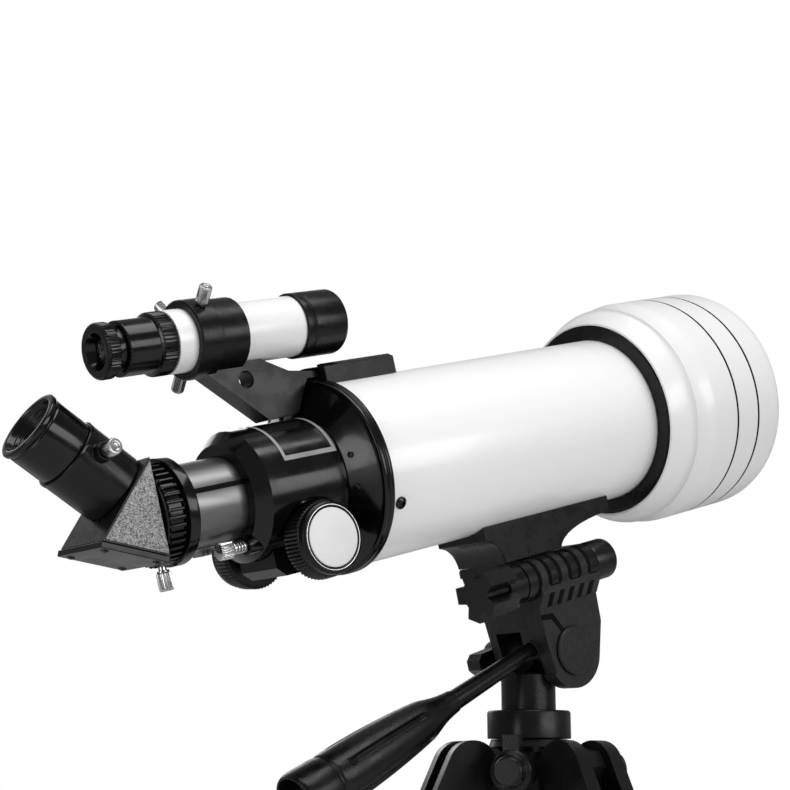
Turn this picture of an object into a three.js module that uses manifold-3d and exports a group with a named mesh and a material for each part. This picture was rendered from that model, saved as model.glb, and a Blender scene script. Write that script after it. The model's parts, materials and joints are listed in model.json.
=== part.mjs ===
// A small refracting telescope with a finder, on a pan and tilt head and a folding tripod.
// Millimetres, +Z up. The tube points along +X, raised by tubeElevation. The column stands on the
// axis x = y = 0 of the inner group, and the whole object is shifted at the end so that its origin
// is the centre of its box on the floor.
import * as THREE from "three";
import { mergeVertices } from "three/addons/utils/BufferGeometryUtils.js";
import Module from "manifold-3d";

const wasm = await Module();
wasm.setup();

// ---------- driving dimensions ----------

const degree = Math.PI / 180;
const gap = 0.3;                       // clearance between touching pieces

const legSpread = 24 * degree;         // angle between a leg and the column
const legLength = 262;                 // pivot to floor along the leg, sections pushed in
const legPivotRadius = 28;
const legAngles = { a: 154, b: 274, c: 34 };
const strutLength = 80;                // also the distance from leg pivot to strut pivot

const tubeElevation = 16 * degree;
const tubeRadius = 36.5;
const tubeLength = 161.5;
const housingRadius = 25;
const drawtubeRadius = 16.2;
const eyepieceRadius = 12.1;           // the 24.5 mm eyepiece standard, less its running gap
const pinionPitch = 4;                 // pitch radius of the focus pinion
const pinionTeeth = 12;

const pivotHeight = legLength * Math.cos(legSpread);
const shoulderTop = pivotHeight + 11;
const collarTop = shoulderTop + 11.8;
const tubeHeight = shoulderTop + 100;  // centre of the rear cell's front edge
const tubeBack = 104.5;                // that centre stands this far behind the column

// Places in the instrument frame: x along the tube, z square to it, origin at the rear cell.
const tilt = { x: 91.2, z: -92.4 };    // tilt axis
const flip = { y: -15, z: -59.3 };     // upright-turn axis, along x
const finder = { z: 61 };              // finder's centre line
const pinion = { x: -29, z: -22 };     // focus axle
const diagonal = { x: -85.2 };          // where the light path turns

// ---------- materials ----------

function finish(color, roughness, metalness = 0) {
  return new THREE.MeshStandardMaterial({ color, roughness, metalness });
}

const white = finish(0xf2f2f0, 0.25);
const gloss = finish(0x0b0b0c, 0.22);
const satin = finish(0x151516, 0.5);
const grainy = finish(0x3a3a3c, 0.75);
const chrome = finish(0xc9c9cc, 0.18, 1);
const castGrey = finish(0x2a2a2b, 0.6);
const alloy = finish(0x1c1c1e, 0.4, 0.7);
const rubber = finish(0x101010, 0.9);
const glass = finish(0xa9c4c0, 0.05);

// ---------- shape helpers ----------

function signedVolume(geometry) {
  const p = geometry.attributes.position;
  const index = geometry.index;
  const a = new THREE.Vector3();
  const b = new THREE.Vector3();
  const c = new THREE.Vector3();
  let volume = 0;
  for (let i = 0; i < index.count; i += 3) {
    a.fromBufferAttribute(p, index.getX(i));
    b.fromBufferAttribute(p, index.getX(i + 1));
    c.fromBufferAttribute(p, index.getX(i + 2));
    volume += a.dot(b.cross(c)) / 6;
  }
  return volume;
}

// A closed three.js geometry as a manifold solid with its faces pointing out.
function solid(geometry) {
  const bare = geometry.clone();
  bare.deleteAttribute("normal");
  bare.deleteAttribute("uv");
  const merged = mergeVertices(bare, 1e-4);
  const triangles = Uint32Array.from(merged.index.array);
  if (signedVolume(merged) < 0) {
    for (let i = 0; i < triangles.length; i += 3) {
      [triangles[i], triangles[i + 1]] = [triangles[i + 1], triangles[i]];
    }
  }
  const vertProperties = Float32Array.from(merged.attributes.position.array);
  return new wasm.Manifold(new wasm.Mesh({ numProp: 3, vertProperties, triVerts: triangles }));
}

function geometryOf(manifold) {
  const mesh = manifold.getMesh();
  const geometry = new THREE.BufferGeometry();
  geometry.setAttribute("position", new THREE.BufferAttribute(mesh.vertProperties, 3));
  geometry.setIndex(new THREE.BufferAttribute(mesh.triVerts, 1));
  geometry.computeVertexNormals();
  return geometry;
}

function joined(...solids) {
  return solids.reduce((whole, next) => whole.add(next));
}

function cut(whole, ...tools) {
  return tools.reduce((rest, tool) => rest.subtract(tool), whole);
}

// Turned solid: profile points are [along the axis, radius] and close on themselves.
function turned(profile, segments = 32) {
  const points = profile.map(([along, radius]) => new THREE.Vector2(radius, along));
  points.push(points[0].clone());
  return new THREE.LatheGeometry(points, segments);
}

// Axis along x, y or z.
const aboutX = (profile, segments) => solid(turned(profile, segments).rotateZ(-Math.PI / 2));
const aboutY = (profile, segments) => solid(turned(profile, segments));
const aboutZ = (profile, segments) => solid(turned(profile, segments).rotateX(Math.PI / 2));

const rod = (from, to, radius) => [[from, 0], [to, 0], [to, radius], [from, radius]];
const pipe = (from, to, outer, inner) => [[from, inner], [to, inner], [to, outer], [from, outer]];

function box(low, high) {
  const size = high.map((value, i) => value - low[i]);
  const middle = high.map((value, i) => (value + low[i]) / 2);
  return solid(new THREE.BoxGeometry(...size).translate(...middle));
}

// A plate: outline in x and z, thickness along y from yLow to yHigh.
function plate(shape, yLow, yHigh, curveSegments = 12) {
  const geometry = new THREE.ExtrudeGeometry(shape, {
    depth: yHigh - yLow, bevelEnabled: false, curveSegments,
  });
  return solid(geometry.rotateX(Math.PI / 2).translate(0, yHigh, 0));
}

// A bar of constant section: outline in y and z, length along x.
function bar(shape, xLow, xHigh, curveSegments = 12) {
  const geometry = new THREE.ExtrudeGeometry(shape, {
    depth: xHigh - xLow, bevelEnabled: false, curveSegments,
  });
  return solid(geometry.rotateX(Math.PI / 2).rotateZ(Math.PI / 2).translate(xLow, 0, 0));
}

function polygon(points) {
  return new THREE.Shape(points.map(([x, y]) => new THREE.Vector2(x, y)));
}

// Ring of bumps for a hand-turned rim: radius swings between the two values count times.
function scalloped(outer, inner, count, stepsPerLobe = 2) {
  const points = [];
  for (let i = 0; i < count * stepsPerLobe; i += 1) {
    const angle = (2 * Math.PI * i) / (count * stepsPerLobe);
    const swing = 0.5 + 0.5 * Math.cos(angle * count);
    const radius = inner + (outer - inner) * swing;
    points.push(new THREE.Vector2(radius * Math.cos(angle), radius * Math.sin(angle)));
  }
  return new THREE.Shape(points);
}

function piece(parent, name, body, material) {
  const mesh = new THREE.Mesh(geometryOf(body), material);
  mesh.name = name;
  parent.add(mesh);
  return mesh;
}

// A knurled thumbscrew along +z: shank below z = 0, head above.
function thumbscrew(shankRadius, shankLength, headRadius, headLength) {
  const head = solid(new THREE.ExtrudeGeometry(scalloped(headRadius, headRadius * 0.86, 12), {
    depth: headLength, bevelEnabled: false,
  }));
  const shank = aboutZ(rod(-shankLength, 0.5, shankRadius), 12);
  return joined(head, shank);
}

const object = new THREE.Group();
const stand = new THREE.Group();
object.add(stand);

// ---------- tripod ----------

const columnRadius = 8.5;
const guideRadius = 12;
const hubHeight = pivotHeight - 2 * strutLength * Math.cos(legSpread);
const guideBottom = hubHeight - 28;
const lockAngle = 214 * degree;
const crankAngle = 334 * degree;
const crankArm = 28;
const gearboxHeight = shoulderTop - 13;

function turnedAbout(body, angle) {
  return body.rotate([0, 0, angle / degree]);
}

// Shoulder: core round the column, one lug for each leg, bosses for lock knob and crank.
function shoulder() {
  const core = aboutZ([
    [shoulderTop - 3, 0], [shoulderTop, 0], [shoulderTop, 16], [shoulderTop - 3, 17],
    [shoulderTop - 5, 15.5], [shoulderTop - 34, 15.5], [shoulderTop - 38, guideRadius],
    [guideBottom, guideRadius], [guideBottom, 0],
  ], 24);
  const lug = plate(polygon([
    [10, pivotHeight + 7], [24, pivotHeight + 8], [33, pivotHeight + 6], [36, pivotHeight],
    [33, pivotHeight - 7], [26, pivotHeight - 9], [10, pivotHeight - 20],
  ]), -6, 6);
  const pinHole = aboutY(rod(-8, 8, 2.6), 12).translate([legPivotRadius, 0, pivotHeight]);
  const bored = cut(lug, pinHole);
  const lugs = Object.values(legAngles).map((angle) => turnedAbout(bored, angle * degree));
  const lockBoss = turnedAbout(cut(
    aboutX(rod(8, 27, 6.5), 16), aboutX(rod(6, 30, 2.9), 12),
  ).translate([0, 0, gearboxHeight]), lockAngle);
  const crankBoss = turnedAbout(cut(
    aboutX(rod(8, 30, 8), 20), aboutX(rod(6, 32, 3.4), 16),
  ).translate([0, 0, gearboxHeight]), crankAngle);
  const pinionWindow = turnedAbout(
    aboutX(rod(6, 18, 6.2), 20).translate([0, 0, gearboxHeight]), crankAngle);
  const lockWindow = turnedAbout(
    aboutX(rod(6, 18, 2.9), 12).translate([0, 0, gearboxHeight]), lockAngle);
  const bore = aboutZ(rod(guideBottom - 1, shoulderTop + 1, columnRadius + gap), 24);
  const whole = joined(core, ...lugs, lockBoss, crankBoss);
  return cut(whole, pinionWindow, lockWindow, bore);
}
piece(stand, "tripod_shoulder", shoulder(), satin);

// Column with the collar that carries the head.
function column() {
  const bottom = guideBottom + 6;
  const bolt = aboutZ(rod(collarTop - 2, collarTop + 9, 4), 20);
  const tube = aboutZ([
    [bottom, columnRadius - 1.5], [shoulderTop - 8, columnRadius - 1.5], [shoulderTop - 8, 0],
    [collarTop, 0], [collarTop, 17], [collarTop - 1, 17.5], [shoulderTop + gap, 17.5],
    [shoulderTop + gap, columnRadius], [bottom, columnRadius],
  ], 24);
  return joined(tube, bolt);
}
piece(stand, "center_column", column(), satin);

// Crank: shaft into the gearbox, arm and handle outside.
function crank() {
  const shaft = aboutX([
    [9.4, 0], [9.4, 2.2], [14.6, 2.2], [14.6, 3.1], [31, 3.1], [31, 7], [40, 7], [41, 5.5], [41, 0],
  ], 20);
  const arm = box([36, -3.6, -crankArm], [40, 3.6, 0]);
  const armEnd = aboutX(rod(36, 40, 3.6), 16).translate([0, 0, -crankArm]);
  const grip = aboutX([
    [39, 0], [39, 3], [41, 4.4], [50, 5.2], [54, 4.4], [55, 0],
  ], 16).translate([0, 0, -crankArm]);
  return joined(shaft, arm, armEnd, grip);
}
const crankGroup = new THREE.Group();
crankGroup.position.set(0, 0, gearboxHeight);
crankGroup.rotation.z = crankAngle;
stand.add(crankGroup);
piece(crankGroup, "column_crank", crank(), satin);

// Knob that clamps the column.
function columnKnob() {
  const screw = aboutX([
    [9.1, 0], [9.1, 2.6], [27.6, 2.6], [27.6, 8.4], [35.5, 8.4], [36.5, 6.4], [41, 6], [42, 5.2], [42, 0],
  ], 24);
  const wing = box([29, -3.5, -12], [35, 3.5, 14.5]);
  return joined(screw, wing);
}
const columnKnobGroup = new THREE.Group();
columnKnobGroup.position.set(0, 0, gearboxHeight);
columnKnobGroup.rotation.z = lockAngle;
stand.add(columnKnobGroup);
piece(columnKnobGroup, "column_lock_knob", columnKnob(), satin);

// Brace hub that slides on the guide tube.
function braceHub() {
  const ring = aboutZ(pipe(hubHeight - 9, hubHeight + 9, 17, guideRadius + gap), 24);
  const lug = plate(polygon([
    [13, hubHeight - 7], [28, hubHeight - 6], [33, hubHeight], [28, hubHeight + 6], [13, hubHeight + 7],
  ]), 5.5, 10.8);
  const cleared = cut(lug, aboutZ(rod(hubHeight - 12, hubHeight + 12, guideRadius + gap), 24));
  const lugs = Object.values(legAngles).map((angle) => turnedAbout(cleared, angle * degree));
  return joined(ring, ...lugs);
}
piece(stand, "brace_hub", braceHub(), satin);

// Legs, built in a frame with its origin on the leg pivot and -z towards the foot.
const legHalfWidth = 10.5;
const lockTop = -150;
const lockBottom = -172;
const lowerTop = -52;
const leverHinge = { x: 11.7, z: lockTop - 4 };

function sleeve(halfX, halfY, zLow, zHigh) {
  return box([-halfX, -halfY, zLow], [halfX, halfY, zHigh]);
}

function legUpper() {
  const head = new THREE.Shape();
  head.absarc(0, 0, 10.5, 0, Math.PI, false);
  head.lineTo(-10.5, -30);
  head.lineTo(-8, -42);
  head.lineTo(8, -42);
  head.lineTo(10.5, -30);
  const cap = cut(
    plate(head, -14, 14, 8),
    box([-12, -6.4, -19], [12, 6.4, 12]),
  );
  const pivotPin = aboutY(rod(-10, 10, 2.3), 12);
  const tube = sleeve(7.5, legHalfWidth, lockTop, -40);
  const collar = joined(
    sleeve(10, 13, lockBottom, lockTop),
    plate(polygon([[9, lockTop - 1], [13.4, lockTop - 1], [13.4, lockTop - 7], [9, lockTop - 9]]), -5, 5),
  );
  const bore = sleeve(6.1, 9.1, lockBottom - 1, -44);
  const leverBore = aboutY(rod(-6, 6, 1.1), 12).translate([leverHinge.x, 0, leverHinge.z]);
  const strutPin = aboutY(rod(9, 14.4, 2), 12).translate([0, 0, -strutLength]);
  return joined(cut(joined(cap, tube, collar), bore, leverBore), cut(strutPin, bore), pivotPin);
}

function legLower() {
  const outer = sleeve(5.8, 8.8, -legLength + 12, lowerTop);
  const inner = sleeve(4.4, 7.4, -legLength + 24, lowerTop + 1);
  return cut(outer, inner);
}

function lockLever() {
  const blade = plate(polygon([
    [-0.9, 1], [0.9, 1], [2, -2], [2, -17], [4.2, -20], [2.8, -20.6], [0.4, -18], [-0.9, -8],
  ]), -10, 10);
  const slot = box([-4, -5.4, -5.6], [4, 5.4, 3]);
  const pin = aboutY(rod(-8, 8, 0.8), 12);
  return joined(cut(blade, slot), pin);
}

function strut() {
  const outline = new THREE.Shape();
  outline.absarc(0, 0, 4.5, 0, Math.PI, false);
  outline.absarc(0, -strutLength, 4.5, Math.PI, 2 * Math.PI, false);
  const hole = new THREE.Path();
  hole.absarc(0, 0, 2.3, 0, 2 * Math.PI, true);
  outline.holes.push(hole);
  return plate(outline, 11.2, 13.4, 8);
}

// Rubber foot: level sole, tilted socket for the lower section.
function foot() {
  const run = legLength * Math.tan(legSpread) * Math.cos(legSpread);
  const outline = new THREE.Shape();
  outline.moveTo(-11, 0);
  outline.lineTo(11, 0);
  outline.quadraticCurveTo(14, 4, 11, 9);
  outline.lineTo(3, 24);
  outline.lineTo(-14, 16.5);
  outline.quadraticCurveTo(-14, 5, -11, 0);
  const block = plate(outline, -12, 12);
  const socket = sleeve(6.1, 9.1, -legLength + 11.7, lowerTop)
    .rotate([0, -legSpread / degree, 0])
    .translate([-run, 0, pivotHeight]);
  return cut(block, socket);
}

for (const [letter, angle] of Object.entries(legAngles)) {
  const radial = new THREE.Group();
  radial.rotation.z = angle * degree;
  stand.add(radial);

  const leg = new THREE.Group();
  leg.position.set(legPivotRadius, 0, pivotHeight);
  leg.rotation.y = -legSpread;
  radial.add(leg);
  piece(leg, `leg_upper_${letter}`, legUpper(), alloy);
  piece(leg, `leg_lower_${letter}`, legLower(), alloy);
  piece(leg, `leg_lock_lever_${letter}`, lockLever(), satin).position.set(leverHinge.x, 0, leverHinge.z);

  const brace = new THREE.Group();
  brace.position.set(0, 0, -strutLength);
  brace.rotation.y = 2 * legSpread;
  leg.add(brace);
  piece(brace, `brace_strut_${letter}`, strut(), alloy);

  const footGroup = new THREE.Group();
  footGroup.position.set(legPivotRadius + legLength * Math.sin(legSpread), 0, 0);
  radial.add(footGroup);
  piece(footGroup, `foot_${letter}`, foot(), rubber);
}

// ---------- pan and tilt head ----------

const tiltWorld = {
  x: -tubeBack + tilt.x * Math.cos(tubeElevation) - tilt.z * Math.sin(tubeElevation),
  z: tubeHeight + tilt.x * Math.sin(tubeElevation) + tilt.z * Math.cos(tubeElevation),
};

// Pan base: neck on the collar, with the boss that the tilt axle runs through.
function panBase() {
  const neckTop = tiltWorld.z - 9;
  const neck = aboutZ([
    [collarTop + gap, 0], [collarTop + gap, 11.4], [neckTop - 1, 11.4], [neckTop, 10.4], [neckTop, 0],
  ], 32);
  const boss = aboutY(rod(-3.6, 11.6, 10), 24).translate([tiltWorld.x, 0, tiltWorld.z]);
  const web = plate(polygon([
    [-8, neckTop - 3], [tiltWorld.x - 6, tiltWorld.z - 3], [tiltWorld.x + 8, tiltWorld.z - 5],
    [tiltWorld.x + 4, tiltWorld.z - 13], [8, neckTop - 12],
  ]), -3.6, 9);
  const axleBore = aboutY(rod(-20, 20, 3.4), 20).translate([tiltWorld.x, 0, tiltWorld.z]);
  const boltBore = aboutZ(rod(collarTop - 1, collarTop + 10, 4.4), 20);
  return cut(joined(neck, boss, web), axleBore, boltBore);
}
piece(stand, "pan_base", panBase(), satin);

const instrument = new THREE.Group();
instrument.position.set(-tubeBack, 0, tubeHeight);
instrument.rotation.y = -tubeElevation;
object.add(instrument);

const cameraScrew = { x: 84 };
const handle = { x: 86, y: -8.3, z: -86.5, drop: 11 * degree };   // runs down and back
const knuckleRadius = 8.6;
const knuckleBack = 70.5;
const knuckleStep = 6;
const knuckleCount = 7;

// Rings on the upright-turn axis: even ones belong to the platform, odd ones to the tilt body.
function knuckles(parity) {
  const rings = [];
  for (let i = parity; i < knuckleCount; i += 2) {
    const start = knuckleBack + i * knuckleStep;
    rings.push(aboutX(pipe(start, start + knuckleStep - gap, knuckleRadius, 3.2), 20)
      .translate([0, flip.y, flip.z]));
  }
  return rings;
}

function knuckleSlots(parity) {
  const slots = [];
  for (let i = parity; i < knuckleCount; i += 2) {
    const start = knuckleBack + i * knuckleStep - gap;
    slots.push(aboutX(rod(start, start + knuckleStep + gap, knuckleRadius + 0.5), 20)
      .translate([0, flip.y, flip.z]));
  }
  return slots;
}

// Tilt body: near cheek with the hinge knuckles, far cheek, and the bridge with the handle socket.
function tiltBody() {
  const cheek = new THREE.Shape();
  cheek.moveTo(77, -64);
  cheek.lineTo(77, -84);
  cheek.lineTo(78.5, -99);
  cheek.absarc(tilt.x, tilt.z, 15.5, 1.15 * Math.PI, 1.85 * Math.PI, false);
  cheek.lineTo(111, -84);
  cheek.lineTo(112.2, -64);
  const near = plate(cheek, -19, -12.2, 10);
  const farCheek = new THREE.Shape();
  farCheek.moveTo(77, -66);
  farCheek.lineTo(79, -88);
  farCheek.absarc(tilt.x, tilt.z, 12, 1.1 * Math.PI, 1.9 * Math.PI, false);
  farCheek.lineTo(106, -80);
  farCheek.lineTo(106, -66);
  const far = plate(farCheek, 12.2, 17, 10);
  const bridge = plate(polygon([
    [77, -70], [77, -80.5], [96, -80.5], [106, -78], [106, -70],
  ]), -12.4, 12.4);
  const nearBoss = aboutY(rod(-12.4, -4.4, 8.4), 24).translate([tilt.x, 0, tilt.z]);
  const socket = alongHandle(aboutX(rod(-3, 9, 4.3), 20));
  const web = plate(polygon([
    [77, -79], [77, -86], [84, -88], [96, -86], [96, -79],
  ]), -12.4, -4.4);
  const root = bar(polygon([
    [-23, -62], [-23, -66], [-19, -72], [-8, -72], [-8, -62],
  ]), 76.8, 112.2);
  const pinBore = aboutX(rod(60, 120, 3.2), 20).translate([0, flip.y, flip.z]);
  const axleBore = aboutY(rod(-25, 25, 3.2), 20).translate([tilt.x, 0, tilt.z]);
  const body = cut(joined(near, far, bridge, root), ...knuckleSlots(0));
  const whole = joined(body, nearBoss, socket, web, ...knuckles(1));
  return cut(whole, pinBore, axleBore, handleSocket());
}

function alongHandle(body) {
  return body.rotate([0, 180 - handle.drop / degree, 0]).translate([handle.x, handle.y, handle.z]);
}

function handleSocket() {
  return alongHandle(aboutX(rod(-2, 30, 3.3), 16));
}

piece(instrument, "tilt_body", tiltBody(), castGrey);

const handleGroup = new THREE.Group();
handleGroup.position.set(handle.x, handle.y, handle.z);
handleGroup.rotation.y = Math.PI - handle.drop;
instrument.add(handleGroup);

function handleRod() {
  return aboutX([
    [-1, 0], [-1, 3], [9, 3], [11, 3.3], [60, 4.2], [60, 4.3], [104, 4.3], [104, 0],
  ], 20);
}
piece(handleGroup, "handle_rod", handleRod(), satin);

function handleGrip() {
  return aboutX([
    [58, 4.6], [64, 5.4], [72, 7.4], [80, 8.8], [92, 9.8], [108, 10.8], [122, 11.2], [127, 10.6],
    [131, 11.2], [140, 11.6], [143, 10.8], [143, 8.6], [133, 8], [133, 0], [104.4, 0], [104.4, 4.6],
  ], 20);
}
piece(handleGroup, "handle_grip", handleGrip(), satin);

// Tilt axle with the round cover outside the near cheek.
function tiltAxle() {
  return aboutY([
    [-20.8, 0], [-20.8, 9.4], [-20.2, 10.2], [-19.3, 10.2], [-19.3, 2.9], [31, 2.9], [31, 0],
  ], 28).translate([tilt.x, 0, tilt.z]);
}
piece(instrument, "tilt_axle", tiltAxle(), castGrey);

// Wing nut that clamps the tilt.
function tiltLock() {
  const hub = aboutY(pipe(17.3, 30, 7, 3.2), 24);
  const wings = plate(polygon([
    [-18.5, 2], [-16, 4.5], [-5, 5], [5, 5], [16, 4.5], [18.5, 2], [18.5, -2], [16, -4.5], [-16, -4.5],
    [-18.5, -2],
  ]), 20, 28);
  const bore = aboutY(rod(15, 35, 3.2), 24);
  return cut(joined(hub, wings), bore);
}
const tiltLockMesh = piece(instrument, "tilt_lock_knob", tiltLock(), satin);
tiltLockMesh.position.set(tilt.x, 0, tilt.z);

// Platform under the tube's foot.
function platform() {
  const top = bar(polygon([
    [flip.y, -50.6], [17, -50.6], [18, -51.6], [18, -54.4], [flip.y + 6, -54.4], [flip.y, -56],
  ]), knuckleBack, knuckleBack + knuckleCount * knuckleStep - gap);
  const screwBore = aboutZ(rod(-60, -45, 3.5), 20).translate([cameraScrew.x, 0, 0]);
  const pinBore = aboutX(rod(60, 120, 3.2), 20).translate([0, flip.y, flip.z]);
  const body = cut(top, ...knuckleSlots(1));
  return cut(joined(body, ...knuckles(0)), screwBore, pinBore);
}
piece(instrument, "platform", platform(), satin);

// Hinge pin with the end cap at the front.
function flipPin() {
  return aboutX([
    [50, 0], [50, 2.9], [112.6, 2.9], [112.6, 8.2], [114, 8.7], [124, 8.7], [125.5, 7.4], [125.5, 0],
  ], 28).translate([0, flip.y, flip.z]);
}
piece(instrument, "flip_pin", flipPin(), satin);

// Five-lobed knob on the pin's back end.
function flipKnob() {
  const lobes = new THREE.Shape();
  const count = 5;
  for (let i = 0; i < count; i += 1) {
    const middle = (2 * Math.PI * i) / count;
    const half = 0.3;
    const out = 11.4;
    const into = 7;
    if (i === 0) {
      lobes.moveTo(out * Math.cos(middle - half), out * Math.sin(middle - half));
    } else {
      lobes.lineTo(out * Math.cos(middle - half), out * Math.sin(middle - half));
    }
    lobes.lineTo(out * Math.cos(middle + half), out * Math.sin(middle + half));
    lobes.lineTo(into * Math.cos(middle + 0.52), into * Math.sin(middle + 0.52));
    lobes.lineTo(into * Math.cos(middle + 0.74), into * Math.sin(middle + 0.74));
  }
  const star = bar(lobes, 47, 62);
  const neck = aboutX(rod(60, 70, 8.2), 28);
  return cut(joined(star, neck), aboutX(rod(48.5, 75, 3.2), 20));
}
const flipKnobMesh = piece(instrument, "flip_lock_knob", flipKnob(), satin);
flipKnobMesh.position.set(0, flip.y, flip.z);
flipKnobMesh.rotation.x = 3 * degree;

// Screw that holds the tube's foot to the platform.
function footScrew() {
  return aboutZ([
    [-58, 0], [-58, 5.6], [-54.7, 5.6], [-54.7, 3.1], [-43.4, 3.1], [-43.4, 0],
  ], 24);
}
piece(instrument, "camera_screw", footScrew(), chrome).position.set(cameraScrew.x, 0, 0);

// ---------- telescope ----------

const lens = { back: 164.5, front: 172, radius: 35.9 };
const shieldRadius = 51.2;
const shieldFront = 227.5;

function mainTube() {
  return aboutX(pipe(0, tubeLength, tubeRadius, tubeRadius - 1.4), 40);
}
piece(instrument, "main_tube", mainTube(), white);

// Rear cell: spigot in the tube, lip, and the cone down to the focuser.
function rearCell() {
  return aboutX([
    [-12, 20.3], [-12, 25.3], [-4.8, 36.8], [-4.2, 38.5], [-0.8, 38.5], [-gap, 38],
    [-gap, 34.7], [14, 34.7], [14, 32.8], [-3.6, 32.8], [-9.6, 24], [-9.6, 20.3],
  ], 40);
}
piece(instrument, "rear_cell", rearCell(), gloss);

const focusLockPlace = { y: -10.6, z: -18.2 };

// Focuser housing: a window underneath for the pinion and, beside it, a boss for the lock screw.
function focuserHousing() {
  const tube = aboutX([
    [-52.5, drawtubeRadius + gap], [-52.5, 20.6], [-47.5, housingRadius], [-12.3, housingRadius],
    [-12.3, 20], [-6, 20], [-6, drawtubeRadius + gap],
  ], 36);
  const window = box([pinion.x - 8, -10.6, -30], [pinion.x + 8, 10.6, -10]);
  const rackSlot = box([-54, -3.8, -20.2], [0, 3.8, -10]);
  const knobRoom = aboutY([
    [-45, 0], [45, 0], [45, 16.1], [17.2, 16.1], [17.2, 8], [12, 8], [12, 2.5],
    [-12, 2.5], [-12, 8], [-17.2, 8], [-17.2, 16.1], [-45, 16.1],
  ], 20).translate([pinion.x, 0, pinion.z]);
  const lockBoss = aboutX(rod(-54, -44, 3.6), 20).translate([0, focusLockPlace.y, focusLockPlace.z]);
  const lockBore = aboutX(rod(-60, -40, 1.8), 16).translate([0, focusLockPlace.y, focusLockPlace.z]);
  const drawtubeRoom = aboutX(rod(-60, 0, drawtubeRadius + gap), 36);
  return cut(joined(tube, lockBoss), window, rackSlot, knobRoom, lockBore, drawtubeRoom);
}
piece(instrument, "focuser_housing", focuserHousing(), gloss);

// Pinion holder closes the window and carries the focus axle in two ears.
function pinionHolder() {
  const cover = plate(polygon([
    [-43, -22], [-43, -29], [-39, -32.5], [-19, -32.5], [-15, -29], [-15, -22],
  ]), -11.5, 11.5);
  const fitted = cut(cover, aboutX(rod(-50, -5, housingRadius + gap), 36));
  const ear = box([pinion.x - 7.6, 5.4, -29], [pinion.x + 7.6, 10.3, -19]);
  const ears = joined(ear, ear.mirror([0, 1, 0]));
  const bore = aboutY(rod(-14, 14, 2.3), 20).translate([pinion.x, 0, pinion.z]);
  const pocket = box([pinion.x - 6.5, -5.4, -29], [pinion.x + 6.5, 5.4, -10]);
  return cut(joined(fitted, ears), bore, pocket);
}
piece(instrument, "pinion_holder", pinionHolder(), satin);

// Rack pitch matches the pinion: one tooth for each step of its pitch circle.
const toothStep = (2 * Math.PI * pinionPitch) / pinionTeeth;
const rackPitchLine = pinion.z + pinionPitch;

function rack() {
  const from = -71;
  const to = 11;
  const tip = rackPitchLine - 0.7;
  const root = rackPitchLine + 0.9;
  const points = [[to, root + 2.5], [from, root + 2.5], [from, root]];
  const first = Math.ceil((from - pinion.x) / toothStep + 0.5);
  const last = Math.floor((to - pinion.x) / toothStep - 1);
  for (let i = first; i <= last; i += 1) {
    const middle = pinion.x + (i + 0.5) * toothStep;
    points.push([middle - 0.75, root], [middle - 0.3, tip], [middle + 0.3, tip], [middle + 0.75, root]);
  }
  points.push([to, root]);
  return plate(polygon(points), -3.4, 3.4);
}

function drawtube() {
  const tube = aboutX(pipe(-80, 14, drawtubeRadius, drawtubeRadius - 1.6), 32);
  const clearBore = aboutX(rod(-90, 20, drawtubeRadius - 1.6), 32);
  return joined(tube, cut(rack(), clearBore));
}
piece(instrument, "drawtube", drawtube(), chrome);

function pinionGear() {
  const points = [];
  for (let i = 0; i < pinionTeeth; i += 1) {
    const middle = Math.PI / 2 + (2 * Math.PI * i) / pinionTeeth;
    for (const [radius, offset] of [[3.1, -0.17], [4.65, -0.065], [4.65, 0.065], [3.1, 0.17]]) {
      points.push([radius * Math.cos(middle + offset), radius * Math.sin(middle + offset)]);
    }
  }
  return plate(polygon(points), -4.6, 4.6);
}

const focusGroup = new THREE.Group();
focusGroup.position.set(pinion.x, 0, pinion.z);
instrument.add(focusGroup);

const knobInner = 19.5;
const knobOuter = 31;

function focusAxle() {
  return joined(aboutY(rod(-knobOuter + 2, knobOuter - 2, 2), 16), pinionGear());
}
piece(focusGroup, "focus_axle", focusAxle(), chrome);

// Focus knob: waist, knurled rim and a shallow seat for the white cap.
function focusKnob() {
  const core = aboutY([
    [knobInner - 7, 2.3], [knobInner - 7, 6.5], [knobInner - 2, 7.5], [knobInner, 14],
    [knobInner + 1, 14.9], [knobOuter - 0.8, 13.9], [knobOuter, 13.2], [knobOuter, 11.3],
    [knobOuter - 0.9, 11.3], [knobOuter - 0.9, 2.3],
  ], 28);
  return core;
}
piece(focusGroup, "focus_knob_left", focusKnob(), satin);
piece(focusGroup, "focus_knob_right", focusKnob().mirror([0, 1, 0]), satin);

// Screw that locks the drawtube, low on its near side and facing back.
function focusLock() {
  return joined(
    aboutX(rod(-55, -41, 1.5), 12),
    aboutX([[-66, 0], [-66, 2.8], [-65.4, 3.4], [-60.6, 3.4], [-60, 2.2], [-54.4, 2.2], [-54.4, 0]], 16),
  );
}
const focusLockMesh = piece(instrument, "focus_lock_screw", focusLock(), chrome);
focusLockMesh.position.set(0, focusLockPlace.y, focusLockPlace.z);

const ringScrew = { x: -83.7 };

// Ribbed ring on the drawtube's end, which holds the diagonal.
function drawtubeRing() {
  const flange = aboutX([
    [-88.2, eyepieceRadius + 0.4], [-88.2, 18.2], [-87.2, 19], [-80, 19], [-80, 19.9], [-75.8, 19.9],
    [-75.8, drawtubeRadius + gap], [-80.3, drawtubeRadius + gap], [-80.3, eyepieceRadius + 0.4],
  ], 32);
  const screwBore = aboutZ(rod(-30, 0, 1.8), 16).translate([ringScrew.x, 0, 0]);
  return cut(flange, screwBore);
}
piece(instrument, "drawtube_ring", drawtubeRing(), satin);

const ringScrewMesh = piece(instrument, "ring_screw", thumbscrew(1.5, 7, 2.7, 7.5), chrome);
ringScrewMesh.position.set(ringScrew.x, 0, -20.2);
ringScrewMesh.rotation.x = Math.PI;

// ---------- diagonal ----------

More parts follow.
